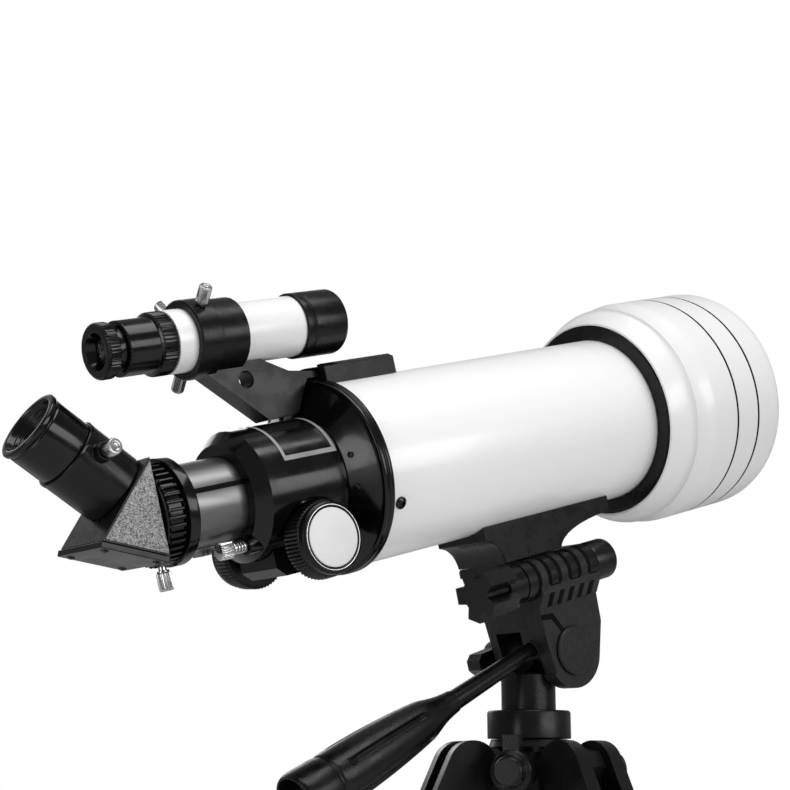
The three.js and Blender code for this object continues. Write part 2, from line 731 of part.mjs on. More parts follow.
// Prism housing: faces square to the two light paths meet at the apex, the third is the cover's.
const apex = { x: -88.5, z: 20 };
const faceLength = 35.5;
const prismHalf = 15;
const slant = Math.SQRT1_2;

// Triangle with a 45 degree corner at the apex, drawn in by inset on all three sides.
function prismOutline(inset) {
  const corner = { x: apex.x - inset, z: apex.z - inset * (1 + Math.SQRT2) };
  const inradiusShare = slant / (2 + 2 * Math.sin(22.5 * degree));
  const length = faceLength - inset / inradiusShare;
  return polygon([
    [corner.x, corner.z],
    [corner.x - length * slant, corner.z - length * slant],
    [corner.x, corner.z - length],
  ]);
}

// Local +x of a turned piece along the slanted light path, then local z points back and down.
const towardEyepiece = (body) => body.rotate([0, -135, 0]).translate([diagonal.x, 0, 0]);
const faceDistance = (diagonal.x - apex.x + apex.z) * slant;
const holderEnd = faceDistance + 22;
const holderScrew = { along: holderEnd - 6.5, turn: 100 };

// Slab lying along the third face: local x runs down that face, local z = 0 is the face itself.
function onThirdFace(body) {
  const middle = { x: apex.x - faceLength * slant / 2, z: apex.z - faceLength * (1 + slant) / 2 };
  return body.rotate([0, 22.5, 0]).translate([middle.x, 0, middle.z]);
}
const thirdFace = 2 * faceLength * Math.sin(22.5 * degree);

function prismHousing() {
  const shell = plate(prismOutline(0), -prismHalf, prismHalf);
  const room = plate(prismOutline(2.6), -prismHalf + 2.5, prismHalf - 2.5);
  const mouth = onThirdFace(box([3 - thirdFace / 2, 3 - prismHalf, -1], [thirdFace / 2 - 3, prismHalf - 3, 5]));
  const nose = aboutX(pipe(apex.x - 1, -81.5, eyepieceRadius, eyepieceRadius - 1.6), 28);
  const noseBore = aboutX(rod(apex.x - 6, -80, eyepieceRadius - 1.6), 28);
  const holderBore = towardEyepiece(aboutX(rod(faceDistance - 6, faceDistance + 3, 10.5), 32));
  return cut(joined(shell, nose), room, mouth, noseBore, holderBore);
}
piece(instrument, "prism_housing", prismHousing(), grainy);

function prismCover() {
  return onThirdFace(box(
    [-thirdFace / 2 - 0.6, -prismHalf - 0.8, -2.6], [thirdFace / 2 - 0.5, prismHalf + 0.8, -gap],
  ));
}
piece(instrument, "prism_cover", prismCover(), satin);

function prism() {
  return plate(prismOutline(3.2), -12, 12);
}
piece(instrument, "prism", prism(), glass);

function eyepieceHolder() {
  const turn = [holderScrew.turn, 0, 0];
  const place = [holderScrew.along, 0, 0];
  const tube = aboutX(pipe(faceDistance + gap, holderEnd, 13.5, eyepieceRadius + gap), 28);
  const boss = aboutZ(rod(12, 16.5, 3.4), 20).rotate(turn).translate(place);
  const screwBore = aboutZ(rod(5, 20, 1.8), 16).rotate(turn).translate(place);
  const inside = aboutX(rod(faceDistance - 1, holderEnd + 1, eyepieceRadius + gap), 28);
  return towardEyepiece(cut(joined(tube, boss), inside, screwBore));
}
piece(instrument, "eyepiece_holder", eyepieceHolder(), satin);

const screwPlace = new THREE.Group();
screwPlace.position.set(diagonal.x, 0, 0);
screwPlace.rotation.y = -135 * degree;
instrument.add(screwPlace);
const holderScrewTurn = new THREE.Group();
holderScrewTurn.position.set(holderScrew.along, 0, 0);
holderScrewTurn.rotation.x = holderScrew.turn * degree;
screwPlace.add(holderScrewTurn);
piece(holderScrewTurn, "holder_screw", thumbscrew(1.5, 4, 3.1, 5.5), chrome).position.set(0, 0, 16.9);

const eyepieceLength = 17;

function eyepiece() {
  const end = holderEnd + eyepieceLength;
  return towardEyepiece(aboutX([
    [holderEnd - 18, 10.6], [holderEnd - 18, eyepieceRadius], [holderEnd + gap, eyepieceRadius],
    [holderEnd + gap, 12.8], [end - 1.4, 12.8], [end - 1, 13.4], [end - 0.3, 13.4], [end, 12.9],
    [end, 10.2], [end - 5, 9.4], [end - 5, 7.4], [holderEnd - 4, 7.4], [holderEnd - 4, 10.6],
  ], 28));
}
piece(instrument, "eyepiece", eyepiece(), gloss);

// ---------- objective end ----------

function lensCell() {
  return aboutX([
    [155, tubeRadius + gap], [155, 42.6], [155.4, 43], [177, 43],
    [177, lens.radius + gap], [lens.back - gap, lens.radius + gap], [lens.back - gap, 33.5],
    [tubeLength + gap, 33.5], [tubeLength + gap, tubeRadius + gap],
  ], 40);
}
piece(instrument, "lens_cell", lensCell(), satin);

function objectiveLens() {
  const profile = [[lens.back, 0], [lens.back, lens.radius]];
  const steps = 4;
  const bulge = 2.6;
  for (let i = 0; i < steps; i += 1) {
    const radius = lens.radius * (1 - i / steps);
    profile.push([lens.front - bulge * (radius / lens.radius) ** 2, radius]);
  }
  profile.push([lens.front, 0]);
  return aboutX(profile, 32);
}
piece(instrument, "objective_lens", objectiveLens(), glass);

// Dew shield: rounded shoulder, a low step, two thin grooves, rounded rim.
function dewShield() {
  const profile = [[155.6, 43.3]];
  const shoulder = { back: 155.6, front: 167, low: 44.4, high: 49.6 };
  for (let i = 1; i <= 3; i += 1) {
    const t = (i / 3) * (Math.PI / 2);
    profile.push([
      shoulder.back + (shoulder.front - shoulder.back) * Math.sin(t) ** 1.3 * 0.98,
      shoulder.low + (shoulder.high - shoulder.low) * (1 - Math.cos(t)) ** 0.75,
    ]);
  }
  profile.push([174, shieldRadius - 1], [178, shieldRadius]);
  for (const groove of [194, 209.2]) {
    profile.push(
      [groove - 0.45, shieldRadius], [groove - 0.45, shieldRadius - 0.7],
      [groove + 0.45, shieldRadius - 0.7], [groove + 0.45, shieldRadius],
    );
  }
  profile.push(
    [shieldFront - 4, shieldRadius], [shieldFront - 1.2, shieldRadius - 1], [shieldFront, shieldRadius - 2.4],
    [shieldFront - 0.6, shieldRadius - 3.2], [182, 47.8], [179, 43.3],
  );
  return aboutX(profile, 40);
}
piece(instrument, "dew_shield", dewShield(), white);

// ---------- finder ----------

const finderParts = new THREE.Group();
finderParts.position.set(0, 0, finder.z);
instrument.add(finderParts);

function finderTube() {
  return aboutX(pipe(-63.7, -1, 12, 10.8), 28);
}
piece(finderParts, "finder_tube", finderTube(), white);

function finderObjective() {
  return aboutX([
    [-5.2, 12.3], [-5.2, 12.6], [-4.8, 13], [14.1, 13], [15.3, 12.2], [15.3, 11.6], [13, 11.3],
    [1, 11.3], [1, 9.4], [-0.7, 9.4], [-0.7, 12.3],
  ], 28);
}
piece(finderParts, "finder_objective_cell", finderObjective(), satin);

// Eyepiece of the finder: two knurled rings on one barrel that screws in the tube.
function finderEyepiece() {
  return aboutX([
    [-92.3, 7], [-92.3, 9.6], [-91.6, 10.4], [-87.6, 10.4], [-87, 8.2], [-84.3, 8.2],
    [-84, 10], [-83.5, 10.4], [-71, 10.4], [-70.2, 12], [-64, 12], [-64, 10.5],
    [-58, 10.5], [-58, 8.4], [-80, 8.4], [-80, 5.2], [-88.5, 5.2],
  ], 24);
}
piece(finderParts, "finder_eyepiece", finderEyepiece(), satin);

const screwAngles = { a: 135, b: 45, c: -45 };
const screwStation = -51;

// Bracket: ring, sleeve, slanting arm and the tongue that slides into the shoe.
function finderBracket() {
  const sleeveBody = aboutX([
    [-56, 12], [-56, 14.6], [-55.4, 15.2], [-46.6, 15.2], [-46, 14.3], [-34, 14.3], [-34, 12],
  ], 28);
  const bottom = -finder.z;
  const arm = plate(polygon([
    [-55, -3], [-46, -1], [-13, 43.4 + bottom], [-2, 42 + bottom], [30, 42 + bottom],
    [30, 39.3 + bottom], [-5, 39.3 + bottom], [-12.6, 26.5 + bottom], [-27, 26 + bottom],
    [-51, 47 + bottom], [-55, -12],
  ]), -4.6, 4.6);
  const passage = aboutX(rod(-60, -12, 12.4), 32);
  const window = aboutY(rod(-8, 8, 3.4), 20).translate([-33.5, 0, 42.5 + bottom]);
  const lug = box([-19, 3, 36.5 + bottom], [-8.5, 15.8, 40 + bottom]);
  const lugBore = aboutZ(rod(30 + bottom, 50 + bottom, 1.9), 16).translate([-13.8, 10.3, 0]);
  const screwBores = Object.values(screwAngles).map((angle) =>
    aboutY(rod(8, 20, 1.8), 10).rotate([angle, 0, 0]).translate([screwStation, 0, 0]));
  return cut(joined(sleeveBody, arm, lug), passage, window, lugBore, ...screwBores);
}
piece(finderParts, "finder_bracket", finderBracket(), satin);

for (const [letter, angle] of Object.entries(screwAngles)) {
  const turn = new THREE.Group();
  turn.position.set(screwStation, 0, 0);
  turn.rotation.x = (angle - 90) * degree;
  finderParts.add(turn);
  piece(turn, `finder_screw_${letter}`, thumbscrew(1.5, 3, 2.5, 8), chrome).position.set(0, 0, 15.6);
}

function finderShoe() {
  const block = bar(polygon([[-9, 30], [9, 30], [9, 42.6], [6.4, 44], [-6.4, 44], [-9, 42.6]]), 1, 37);
  const channel = bar(polygon([[-5, 39], [5, 39], [5, 42.4], [3.4, 45], [-3.4, 45], [-5, 42.4]]), 0, 31);
  const tubeSpace = aboutX(rod(-1, 40, tubeRadius + gap), 40);
  return cut(block, channel, tubeSpace);
}
piece(instrument, "finder_shoe", finderShoe(), satin);

piece(instrument, "finder_shoe_nut", thumbscrew(1.5, 5.5, 5.4, 7), satin).position.set(-13.8, 10.3, 40.4);

// ---------- saddle under the tube ----------

const saddle = { back: 59.5, front: 136, blockBack: 67, blockFront: 101.5, top: -32, bottom: -50.2 };

function saddleFoot() {
  const outline = new THREE.Shape();
  outline.moveTo(saddle.back, saddle.top);
  outline.lineTo(saddle.back, -39.5);
  outline.quadraticCurveTo(saddle.blockBack, -41, saddle.blockBack + 1, saddle.bottom);
  outline.lineTo(saddle.blockFront, saddle.bottom);
  outline.quadraticCurveTo(saddle.blockFront + 3, -42, saddle.front, -40);
  outline.lineTo(saddle.front, saddle.top);
  const body = plate(outline, -15, 15, 8);
  const tubeSpace = aboutX(rod(50, 145, tubeRadius + gap), 40);
  const thread = aboutZ(rod(-60, -42.6, 3.4), 20).translate([cameraScrew.x, 0, 0]);
  return cut(body, tubeSpace, thread);
}
piece(instrument, "saddle", saddleFoot(), satin);

// ---------- origin on the floor, under the middle of the whole object ----------

object.updateMatrixWorld(true);
const extent = new THREE.Box3().setFromObject(object);
object.children.forEach((child) => {
  child.position.x -= (extent.min.x + extent.max.x) / 2;
  child.position.y -= (extent.min.y + extent.max.y) / 2;
});

export default object;
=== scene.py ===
"""Looks of the telescope on its tripod: materials, detail pieces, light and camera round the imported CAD.

Lengths in the shape code are millimetres and become metres when a mesh is made.
"""
import json
import math

import bmesh
import bpy
from mathutils import Matrix, Vector


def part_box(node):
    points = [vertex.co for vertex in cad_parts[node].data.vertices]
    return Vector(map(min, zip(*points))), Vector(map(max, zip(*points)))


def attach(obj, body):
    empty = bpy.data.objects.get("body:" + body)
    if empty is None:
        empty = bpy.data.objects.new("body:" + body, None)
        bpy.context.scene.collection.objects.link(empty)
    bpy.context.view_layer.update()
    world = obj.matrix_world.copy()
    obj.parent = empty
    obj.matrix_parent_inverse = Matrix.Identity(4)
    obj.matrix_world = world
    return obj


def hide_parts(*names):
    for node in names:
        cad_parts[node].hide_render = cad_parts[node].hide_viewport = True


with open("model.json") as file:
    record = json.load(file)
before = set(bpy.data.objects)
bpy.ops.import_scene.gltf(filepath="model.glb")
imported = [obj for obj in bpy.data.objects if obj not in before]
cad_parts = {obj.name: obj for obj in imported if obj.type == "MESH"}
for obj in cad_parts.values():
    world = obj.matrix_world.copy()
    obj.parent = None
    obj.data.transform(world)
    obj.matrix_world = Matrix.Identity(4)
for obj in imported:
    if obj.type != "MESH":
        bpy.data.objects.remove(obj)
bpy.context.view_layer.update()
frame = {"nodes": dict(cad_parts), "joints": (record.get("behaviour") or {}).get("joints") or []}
nodes = frame["nodes"]

MM = 0.001
QUARTER_TURN = math.pi / 2

# Driving dimensions, in millimetres. Places are x along the tube from the rear cell's front edge,
# y to the tube's left and z square to it.
RISE = math.radians(16)
TUBE_RADIUS = 36.5
TUBE_LENGTH = 161.5
TUBE_WALL = 1.4
SHIELD_RADIUS = 51.2
SHIELD_FRONT = 227.5
HOUSING_RADIUS = 25.0
DRAWTUBE_RADIUS = 16.2
PINION_PLACE = (-29, 0, -22)
RING_SCREW_X = -83.7
FOCUS_LOCK_PLACE = (0, -10.6, -18.2)
FINDER_HEIGHT = 61

# The diagonal: where the slanted light path starts, the prism housing's top corner and its size.
DIAGONAL_X = -85.2
APEX = Vector((-88.5, 20.0))
FACE_LENGTH = 35.5
PRISM_HALF = 15.0
SLANT = math.sqrt(0.5)
HALF_CORNER = math.radians(22.5)
HOLDER_LENGTH = 22
HOLDER_END = (DIAGONAL_X - APEX.x + APEX.y) * SLANT + HOLDER_LENGTH
EYEPIECE_LENGTH = 17

# The head: the upright-turn pin, its knuckles, and the near cheek's face and slanted root.
FLIP_PIN_PLACE = (0, -15, -59.3)
KNUCKLES_BACK = 70.5
KNUCKLE_PITCH = 6
KNUCKLE_RADII = (8.2, 8.67)
CHEEK_FACE = (-19.15, -18.8)
NOTCHES_BACK = 81.2
NOTCH_PITCH = 6.1
NOTCH_WIDTH = 2.6
NOTCH_REACH = 3.4
ROOT_PLACE = (0, -21, -69)
ROOT_SLOPE = math.radians(33.7)


# ---------- places ----------

def joint(name):
    return next(j for j in frame["joints"] if j["name"] == name)


def tube_origin():
    """Centre of the rear cell's front edge, worked out from the slanted tube's box."""
    low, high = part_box("main_tube")
    reach = TUBE_RADIUS * MM
    return Vector((low.x + reach * math.sin(RISE), (low.y + high.y) / 2, low.z + reach * math.cos(RISE)))


# Local x along the tube, y to its left, z square to it.
TUBE = Matrix.Translation(tube_origin()) @ Matrix.Rotation(-RISE, 4, "Y")


def on_tube(x=0.0, y=0.0, z=0.0):
    """A frame parallel to the tube's, moved by millimetres."""
    return TUBE @ Matrix.Translation(Vector((x, y, z)) * MM)


def along_axis(joint_name):
    """A frame whose local x runs along a joint's axis, from its point."""
    data = joint(joint_name)
    axis = Vector(data["axis"]).normalized()
    turn = Vector((1, 0, 0)).rotation_difference(axis).to_matrix().to_4x4()
    return Matrix.Translation(Vector(data["pos_m"])) @ turn


# ---------- materials ----------

COAT_ROUGHNESS = 0.06
SMUDGE_SCALE = 140.0
# Pointiness range and strength of the painted highlight along convex edges.
EDGE_HIGHLIGHT_POINTINESS = (0.51, 0.58)
EDGE_HIGHLIGHT_SHARE = 0.6
DIELECTRIC_SPECULAR = 0.5
GLASS_INDEX = 1.52


def grey(value):
    return (value, value, value)


def add_node(tree, kind, **settings):
    """Adds a shader node; a setting goes to the input of that name, or else to the node itself."""
    node = tree.nodes.new(kind)
    for name, value in settings.items():
        if name in node.inputs:
            node.inputs[name].default_value = value
        else:
            setattr(node, name, value)
    return node


def noise(tree, coordinates, scale, detail=4.0, stretch=None):
    """Noise in object space; stretch is a scale for each axis, for brushed or drawn metal."""
    source = coordinates
    if stretch:
        mapping = add_node(tree, "ShaderNodeMapping")
        mapping.inputs["Scale"].default_value = stretch
        tree.links.new(coordinates, mapping.inputs["Vector"])
        source = mapping.outputs["Vector"]
    texture = add_node(tree, "ShaderNodeTexNoise", Scale=scale, Detail=detail)
    tree.links.new(source, texture.inputs["Vector"])
    return texture.outputs["Fac"]


def spread(tree, factor, low, high, narrow=0.3):
    """Maps the useful middle of a noise to the range low..high."""
    ranged = add_node(tree, "ShaderNodeMapRange")
    ranged.inputs["From Min"].default_value = 0.5 - narrow / 2
    ranged.inputs["From Max"].default_value = 0.5 + narrow / 2
    ranged.inputs["To Min"].default_value = low
    ranged.inputs["To Max"].default_value = high
    tree.links.new(factor, ranged.inputs["Value"])
    return ranged.outputs["Result"]


def mixed(tree, factor, dark, light):
    """Blends two colours by a factor."""
    mix = add_node(tree, "ShaderNodeMix", data_type="RGBA")
    colours = [s for s in mix.inputs if s.type == "RGBA"]
    colours[0].default_value = (*dark, 1)
    colours[1].default_value = (*light, 1)
    tree.links.new(factor, mix.inputs[0])
    return next(s for s in mix.outputs if s.type == "RGBA")


def add_painted_edge_highlight(tree, colour, edge_light):
    """Paints a highlight along convex edges: mixes the highlight colour into a colour where the surface is
    convex.
    """
    edges = add_node(tree, "ShaderNodeMapRange")
    edges.inputs["From Min"].default_value = EDGE_HIGHLIGHT_POINTINESS[0]
    edges.inputs["From Max"].default_value = EDGE_HIGHLIGHT_POINTINESS[1]
    edges.inputs["To Max"].default_value = EDGE_HIGHLIGHT_SHARE
    pointiness = add_node(tree, "ShaderNodeNewGeometry").outputs["Pointiness"]
    tree.links.new(pointiness, edges.inputs["Value"])
    mix = add_node(tree, "ShaderNodeMix", data_type="RGBA")
    colours = [s for s in mix.inputs if s.type == "RGBA"]
    colours[1].default_value = (*edge_light, 1)
    tree.links.new(edges.outputs["Result"], mix.inputs[0])
    tree.links.new(colour, colours[0])
    return next(s for s in mix.outputs if s.type == "RGBA")


def surface(name, dark, light, rough, grain_scale, grain_depth, **more):
    """One procedural finish: clouded colour, uneven roughness, and a grain in the surface.

    rough is (smoothest, roughest); grain_depth is in millimetres. The edge colour, where given, is a painted
    highlight mixed in where the surface is convex.
    """
    material = bpy.data.materials.new(name)
    material.use_nodes = True
    tree = material.node_tree
    shader = tree.nodes["Principled BSDF"]
    shader.inputs["Metallic"].default_value = more.get("metallic", 0.0)
    shader.inputs["Coat Weight"].default_value = more.get("coat", 0.0)
    shader.inputs["Coat Roughness"].default_value = COAT_ROUGHNESS
    shader.inputs["Specular IOR Level"].default_value = more.get("specular", DIELECTRIC_SPECULAR)
    place = add_node(tree, "ShaderNodeTexCoord").outputs["Object"]
    stretch = more.get("stretch")
    cloud = noise(tree, place, more.get("cloud_scale", 60.0), stretch=stretch)
    colour = mixed(tree, spread(tree, cloud, 0, 1, more.get("contrast", 0.4)), dark, light)
    # Painted highlight: a lighter colour along convex edges, standing in for the light that the edges catch.
    edge_light = more.get("edge_light")
    if edge_light:
        colour = add_painted_edge_highlight(tree, colour, edge_light)
    tree.links.new(colour, shader.inputs["Base Color"])
    smudge = noise(tree, place, SMUDGE_SCALE, 6.0, stretch)
    tree.links.new(spread(tree, smudge, *rough), shader.inputs["Roughness"])
    grain = noise(tree, place, grain_scale, 3.0, stretch)
    bump = add_node(tree, "ShaderNodeBump", Strength=more.get("bump", 0.4), Distance=grain_depth * MM)
    tree.links.new(grain, bump.inputs["Height"])
    tree.links.new(bump.outputs["Normal"], shader.inputs["Normal"])
    return material


def speckled(name):
    """Wrinkle paint: dark grey with a fine light speckle."""
    material = surface(name, grey(0.055), grey(0.085), (0.5, 0.75), 900.0, 0.25, bump=0.8)
    tree = material.node_tree
    shader = tree.nodes["Principled BSDF"]
    place = add_node(tree, "ShaderNodeTexCoord").outputs["Object"]
    cells = add_node(tree, "ShaderNodeTexVoronoi", Scale=2600.0)
    tree.links.new(place, cells.inputs["Vector"])
    split = add_node(tree, "ShaderNodeSeparateColor")
    tree.links.new(cells.outputs["Color"], split.inputs["Color"])
    colour = mixed(tree, spread(tree, split.outputs["Red"], 0, 1, 0.9), grey(0.06), grey(0.42))
    tree.links.new(colour, shader.inputs["Base Color"])
    return material


def clear_glass(name, tint):
    """Polished glass with a faint coating."""
    material = surface(name, tint, tint, (0.01, 0.04), 500.0, 0.002, bump=0.05, coat=0.4)
    shader = material.node_tree.nodes["Principled BSDF"]
    shader.inputs["Transmission Weight"].default_value = 1.0
    shader.inputs["IOR"].default_value = GLASS_INDEX
    return material


WHITE = surface("white_gloss", grey(0.87), (0.885, 0.885, 0.883), (0.28, 0.31), 700.0, 0.02,
                coat=0.25, bump=0.05, contrast=0.8)
SHIELD_WHITE = surface("shield_white", grey(0.80), (0.815, 0.815, 0.813), (0.28, 0.32), 700.0, 0.02,
                       coat=0.2, bump=0.05, contrast=0.8)
CAP_WHITE = surface("cap_white", grey(0.70), grey(0.75), (0.3, 0.4), 600.0, 0.02, bump=0.2)
# The edge colours of the black finishes below are painted highlights along convex edges.
GLOSS = surface("black_gloss", (0.0012, 0.0012, 0.0013), (0.0022, 0.0022, 0.0023), (0.12, 0.22), 800.0, 0.02,
                coat=0.08, specular=0.28, bump=0.2, edge_light=(0.004, 0.004, 0.0042))
SATIN = surface("black_satin", (0.0016, 0.0016, 0.0017), (0.003, 0.003, 0.0031), (0.22, 0.34), 1300.0, 0.05,
                specular=0.26, bump=0.35, edge_light=grey(0.007))
MOULDED = surface("moulded_black", grey(0.0018), grey(0.004), (0.22, 0.36), 1600.0, 0.10,
                  specular=0.26, bump=0.6, edge_light=grey(0.010))
CHEEK = surface("moulded_grey", grey(0.007), grey(0.016), (0.36, 0.52), 1500.0, 0.12,
                specular=0.26, bump=0.7, edge_light=grey(0.022), cloud_scale=400.0)
CHROME = surface("chrome", (0.40, 0.40, 0.41), (0.62, 0.62, 0.63), (0.12, 0.24), 500.0, 0.01,
                 metallic=1.0, bump=0.2)
DRAWN = surface("drawn_steel", (0.14, 0.14, 0.142), (0.24, 0.24, 0.243), (0.26, 0.4), 900.0, 0.02,
                metallic=0.9, bump=0.3, stretch=(0.06, 1.0, 1.0))
ANODISED = surface("anodised_black", (0.002, 0.002, 0.0022), (0.005, 0.005, 0.0053), (0.22, 0.36), 1100.0,
                   0.03, metallic=0.1, specular=0.3, bump=0.3, stretch=(1.0, 1.0, 0.08),
                   edge_light=grey(0.012))
RUBBER = surface("rubber", grey(0.006), (0.012, 0.0118, 0.0115), (0.7, 0.92), 700.0, 0.2, bump=0.7)
# Blackened insides of the tubes, and dark patches that stand for painted shade in gaps, grooves, notches and
# slots.
BLACKENED_AND_SHADE = surface("blackened_inside_and_painted_shade", grey(0.0015), grey(0.003), (0.7, 0.9), 600.0, 0.05, specular=0.1)
LABEL = surface("silver_print", grey(0.20), grey(0.30), (0.34, 0.48), 900.0, 0.01, bump=0.1)
SPECKLE = speckled("wrinkle_paint")
LENS = clear_glass("coated_glass", (0.72, 0.86, 0.80))
EYE_GLASS = clear_glass("eye_glass", (0.9, 0.94, 0.95))


# ---------- mesh code ----------

WELD_DISTANCE = 1e-4
ON_AXIS = 1e-6
STRAIGHT = 0.3
CORNER_STEPS = 3


def finish_mesh(name, bm, matrix, material, body, slot=None, sharp=28):
    """Turns a bmesh in millimetres into a piece that rides on a body."""
    bmesh.ops.remove_doubles(bm, verts=bm.verts, dist=WELD_DISTANCE)
    bmesh.ops.recalc_face_normals(bm, faces=bm.faces)
    mesh = bpy.data.meshes.new(name)
    bm.to_mesh(mesh)
    bm.free()
    mesh.transform(matrix @ Matrix.Scale(MM, 4))
    mesh.polygons.foreach_set("use_smooth", [True] * len(mesh.polygons))
    mesh.set_sharp_from_angle(angle=math.radians(sharp))
    piece = bpy.data.objects.new(name, mesh)
    bpy.context.scene.collection.objects.link(piece)
    piece.data.materials.append(material)
    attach(piece, body)
    return piece


def rounded(points, radius):
    """A closed outline with its corners rounded, each by at most radius, except where it meets y = 0."""
    result = []
    count = len(points)
    for i, here in enumerate(points):
        here = Vector(here)
        before = Vector(points[i - 1]) - here
        after = Vector(points[(i + 1) % count]) - here
        on_axis = here.y < ON_AXIS
        empty = before.length < ON_AXIS or after.length < ON_AXIS
        straight = empty or abs(before.angle(after) - math.pi) < STRAIGHT
        if on_axis or straight:
            result.append(here)
            continue
        cut = min(radius, before.length * 0.45, after.length * 0.45)
        start = here + before.normalized() * cut
        end = here + after.normalized() * cut
        for k in range(CORNER_STEPS + 1):
            t = k / CORNER_STEPS
            result.append(start * (1 - t) ** 2 + here * 2 * t * (1 - t) + end * t ** 2)
    return [(p.x, p.y) for p in result]


def lathe(name, profile, matrix, material, body, segments=96, soft=0.3, ripple=None, **more):
    """A turned piece about local x. profile is a closed ring of (along, radius).

    ripple(along, radius, angle) gives a change of radius, for knurls and grooves.
    """
    outline = rounded(profile, soft) if soft else profile
    bm = bmesh.new()
    rings = []
    for k in range(segments):
        angle = 2 * math.pi * k / segments
        ring = []
        for along, radius in outline:
            r = radius
            if ripple and radius > 0:
                r = radius + ripple(along, radius, angle)
            ring.append(bm.verts.new((along, r * math.cos(angle), r * math.sin(angle))))
        rings.append(ring)
    for k in range(segments):
        here = rings[k]
        after = rings[(k + 1) % segments]
        for i in range(len(outline)):
            j = (i + 1) % len(outline)
            if outline[i][1] < ON_AXIS and outline[j][1] < ON_AXIS:
                continue
            bm.faces.new((here[i], here[j], after[j], after[i]))
    bmesh.ops.dissolve_degenerate(bm, edges=bm.edges, dist=1e-5)
    return finish_mesh(name, bm, matrix, material, body, **more)


def slab(name, outline, low, high, matrix, material, body, bevel=0.3, **more):
    """A flat plate: outline in local x and z, thickness along y from low to high."""
    bm = bmesh.new()
    verts = [bm.verts.new((x, low, z)) for x, z in outline]
    face = bm.faces.new(verts)
    grown = bmesh.ops.extrude_face_region(bm, geom=[face])
    moved = [v for v in grown["geom"] if isinstance(v, bmesh.types.BMVert)]
    bmesh.ops.translate(bm, verts=moved, vec=(0, high - low, 0))
    if bevel:
        bmesh.ops.bevel(bm, geom=bm.edges[:], offset=bevel, segments=2, profile=0.6, affect="EDGES")
    return finish_mesh(name, bm, matrix, material, body, **more)


def knurl(teeth, depth, lowest):
    """A ripple of straight ridges on every part of a profile outside the radius lowest."""
    def ripple(along, radius, angle):
        if radius < lowest:
            return 0.0
        wave = 0.5 - 0.5 * math.cos(teeth * angle)
        return -depth * wave
    return ripple


def screw_head(name, matrix, radius, height, material, body):
    """A domed screw head about local x, with a round recess, standing on local x = 0."""
    profile = [(-0.4, 0), (-0.4, radius * 0.8), (0, radius), (height * 0.45, radius * 0.96),
               (height * 0.8, radius * 0.7), (height, radius * 0.36), (height * 0.55, radius * 0.3),
               (height * 0.5, 0)]
    return lathe(name, profile, matrix, material, body, segments=24, soft=0)


# ---------- CAD nodes that keep their shape ----------

NODE_WELD = 0.000005
BEVELLED_ANGLE = math.radians(32)


def dress(name, material, bevel=0.35):
    """Gives a CAD node its finish, joined normals and a small rounding of its edges."""
    node = nodes[name]
    data = node.data
    custom = data.attributes.get("custom_normal")
    if custom:
        data.attributes.remove(custom)
    data.materials.clear()
    data.materials.append(material)
    data.polygons.foreach_set("material_index", [0] * len(data.polygons))
    data.polygons.foreach_set("use_smooth", [True] * len(data.polygons))
    weld = node.modifiers.new("weld", "WELD")
    weld.merge_threshold = NODE_WELD
    edges = node.modifiers.new("edges", "BEVEL")
    edges.width = bevel * MM
    edges.segments = 2
    edges.limit_method = "ANGLE"
    edges.angle_limit = BEVELLED_ANGLE
    edges.use_clamp_overlap = True
    edges.harden_normals = True


def dress_all():
    """Gives every CAD node that keeps its shape the finish of its kind."""
    moulded = ["tripod_shoulder", "center_column", "column_crank", "column_lock_knob", "brace_hub",
               "pan_base", "flip_pin", "platform", "handle_rod", "tilt_lock_knob", "flip_lock_knob",
               "saddle", "finder_shoe_nut"]
    satin = ["eyepiece_holder", "pinion_holder", "lens_cell", "finder_bracket", "finder_shoe",
             "prism_housing", "prism_cover"]
    chrome = ["focus_axle", "camera_screw"]
    for name in moulded:
        dress(name, MOULDED)
    for name in satin:
        dress(name, SATIN)
    for name in chrome:
        dress(name, CHROME, bevel=0.15)
    dress("tilt_body", CHEEK)
    dress("tilt_axle", CHEEK)
    dress("focuser_housing", GLOSS, bevel=0.5)
    dress("drawtube", DRAWN, bevel=0.12)
    dress("prism", EYE_GLASS, bevel=0.2)
    for letter in "abc":
        dress(f"leg_upper_{letter}", ANODISED, bevel=0.6)
        dress(f"leg_lower_{letter}", ANODISED, bevel=0.4)
        dress(f"brace_strut_{letter}", ANODISED, bevel=0.25)
        dress(f"leg_lock_lever_{letter}", MOULDED, bevel=0.4)
        dress(f"foot_{letter}", RUBBER, bevel=0.9)


# ---------- telescope ----------

def main_tube():
    """White tube with a blackened inside and three screws that hold the rear cell."""
    inner = TUBE_RADIUS - TUBE_WALL
    skin = [(0, inner), (TUBE_LENGTH, inner), (TUBE_LENGTH, TUBE_RADIUS), (0, TUBE_RADIUS)]
    tube = lathe("tube_skin", skin, TUBE, WHITE, "telescope", segments=192, soft=0.25, slot="white_gloss")
    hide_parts("main_tube")
    back, front, paint = 15, TUBE_LENGTH - 1, 0.35
    lining = [(back, inner - paint), (front, inner - paint), (front, inner), (back, inner)]
    lathe("tube_lining", lining, TUBE, BLACKENED_AND_SHADE, "telescope", segments=96, soft=0, slot="black_satin")
    screws = 3
    for k in range(screws):
        angle = math.radians(-155 + 360 / screws * k)
        turn = Matrix.Rotation(angle, 4, "X") @ Matrix.Rotation(QUARTER_TURN, 4, "Z")
        place = on_tube(3.9) @ turn @ Matrix.Translation((TUBE_RADIUS * MM, 0, 0))
        screw_head(f"tube_screw_{k + 1}", place, 2.5, 1.5, GLOSS, "telescope")


